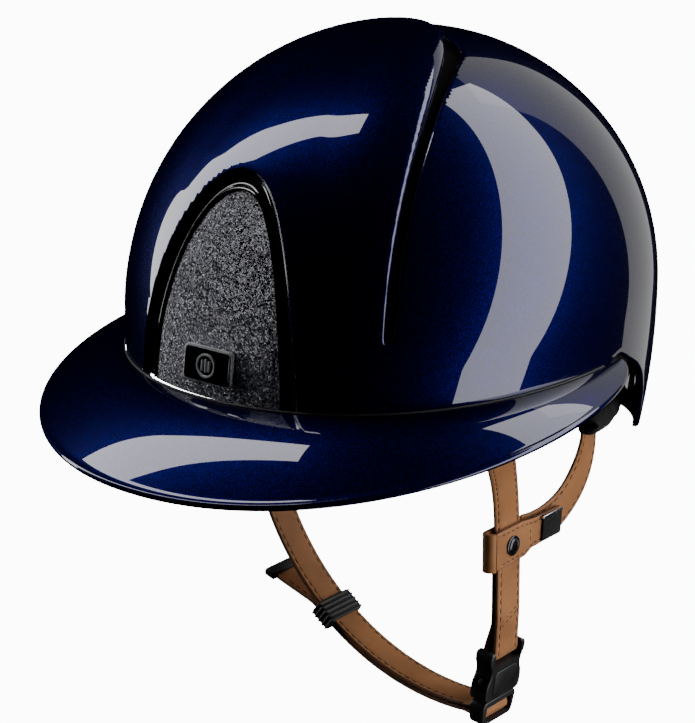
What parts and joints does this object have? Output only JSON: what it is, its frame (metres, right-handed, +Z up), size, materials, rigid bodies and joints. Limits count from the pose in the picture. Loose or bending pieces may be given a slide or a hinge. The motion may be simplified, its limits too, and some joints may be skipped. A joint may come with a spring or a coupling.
{
  "type": "equestrian riding helmet",
  "caption": "Riding helmet with a navy dome shell, raised front plate and crest vent, glitter front insert, wide brim, foam liner, pads and a leather chin harness with side-release buckle.",
  "frame": {"origin": "centre line of the head opening, level with the joint between brim and shell", "axes": "+Z up towards the crown, -Y the way the wearer faces, +X the wearer's left"},
  "size_m": [0.2434, 0.2958, 0.3019],
  "materials": {
    "shell_paint": "deep navy metallic base under a mirror clear coat",
    "glitter": "charcoal glitter film with silver flecks",
    "black_gloss": "black, polished",
    "black_plastic": "black, satin moulded",
    "silver": "brushed silver",
    "dark_metal": "gunmetal",
    "rubber": "black, ribbed",
    "liner": "black expanded foam",
    "lining": "black brushed knit over foam",
    "tag_fabric": "black woven tape",
    "leather": "tan, fine grain, dark stitching"
  },
  "bodies": {
    "helmet": {"outer_shell": "shell_paint", "crest_vent_trim": "black_plastic", "front_frame": "black_gloss", "front_panel": "glitter", "emblem_plate": "black_gloss", "emblem_motif": "silver", "brim": "shell_paint", "brim_gasket": "rubber", "foam_liner": "liner", "crown_pad": "lining", "brow_pad": "lining", "side_pad_left": "lining", "side_pad_right": "lining", "nape_pad": "lining", "anchor_plates": "dark_metal", "anchor_rivets": "dark_metal", "front_strap_left": "leather", "front_strap_right": "leather", "rear_strap_left": "leather", "rear_strap_right": "leather", "loop_left": "leather", "loop_right": "leather", "snap_socket_left": "dark_metal", "snap_socket_right": "dark_metal"},
    "flap_left": {"snap_flap_left": "leather", "snap_cap_left": "dark_metal", "strap_tag_left": "tag_fabric", "tag_clip_left": "silver"},
    "flap_right": {"snap_flap_right": "leather", "snap_cap_right": "dark_metal", "strap_tag_right": "tag_fabric", "tag_clip_right": "silver"},
    "chin_harness": {"lower_strap_left": "leather", "buckle_female": "black_plastic", "chin_strap": "leather", "chin_tail": "leather", "tail_tip": "black_plastic"},
    "buckle_male": {"buckle_male": "black_plastic", "male_strap_end": "leather"},
    "prong_front": {"prong_front": "black_plastic"},
    "prong_rear": {"prong_rear": "black_plastic"},
    "keeper": {"keeper": "rubber"}
  },
  "joints": [
    {"name": "chin_swing", "type": "hinge", "parent": "helmet", "child": "chin_harness", "pos_m": [0, -0.005, -0.086], "axis": [1, 0, 0], "range_deg": [-20, 20]},
    {"name": "flap_left_open", "type": "hinge", "parent": "helmet", "child": "flap_left", "pos_m": [0.0665, -0.01675, -0.086], "axis": [0, 0, -1], "range_deg": [0, 100]},
    {"name": "flap_right_open", "type": "hinge", "parent": "helmet", "child": "flap_right", "pos_m": [-0.0665, -0.01675, -0.086], "axis": [0, 0, 1], "range_deg": [0, 100]},
    {"name": "buckle_release", "type": "slide", "parent": "chin_harness", "child": "buckle_male", "axis": [-0.1564, 0, -0.9877], "range_m": [0, 0.028], "deforming": ["prong_front", "prong_rear"]},
    {"name": "prong_squeeze", "type": "hinge", "parent": "buckle_male", "child": "prong_rear", "pos_m": [0.05811, 0.0014, -0.15806], "axis": [0.9877, 0, -0.1564], "range_deg": [0, 14], "stiffness_Nm_per_rad": 0.002},
    {"name": "prong_front_squeeze", "type": "hinge", "parent": "buckle_male", "child": "prong_front", "pos_m": [0.05811, -0.0114, -0.15806], "axis": [0.9877, 0, -0.1564], "range_deg": [-14, 0], "stiffness_Nm_per_rad": 0.002},
    {"name": "keeper_slide", "type": "hinge", "parent": "chin_harness", "child": "keeper", "pos_m": [0.039, -0.005, -0.052], "axis": [0, -1, 0], "range_deg": [0, 14]}
  ],
  "couplings": [
    {"joint": "prong_front_squeeze", "follows": "prong_squeeze", "ratio": -1}
  ]
}
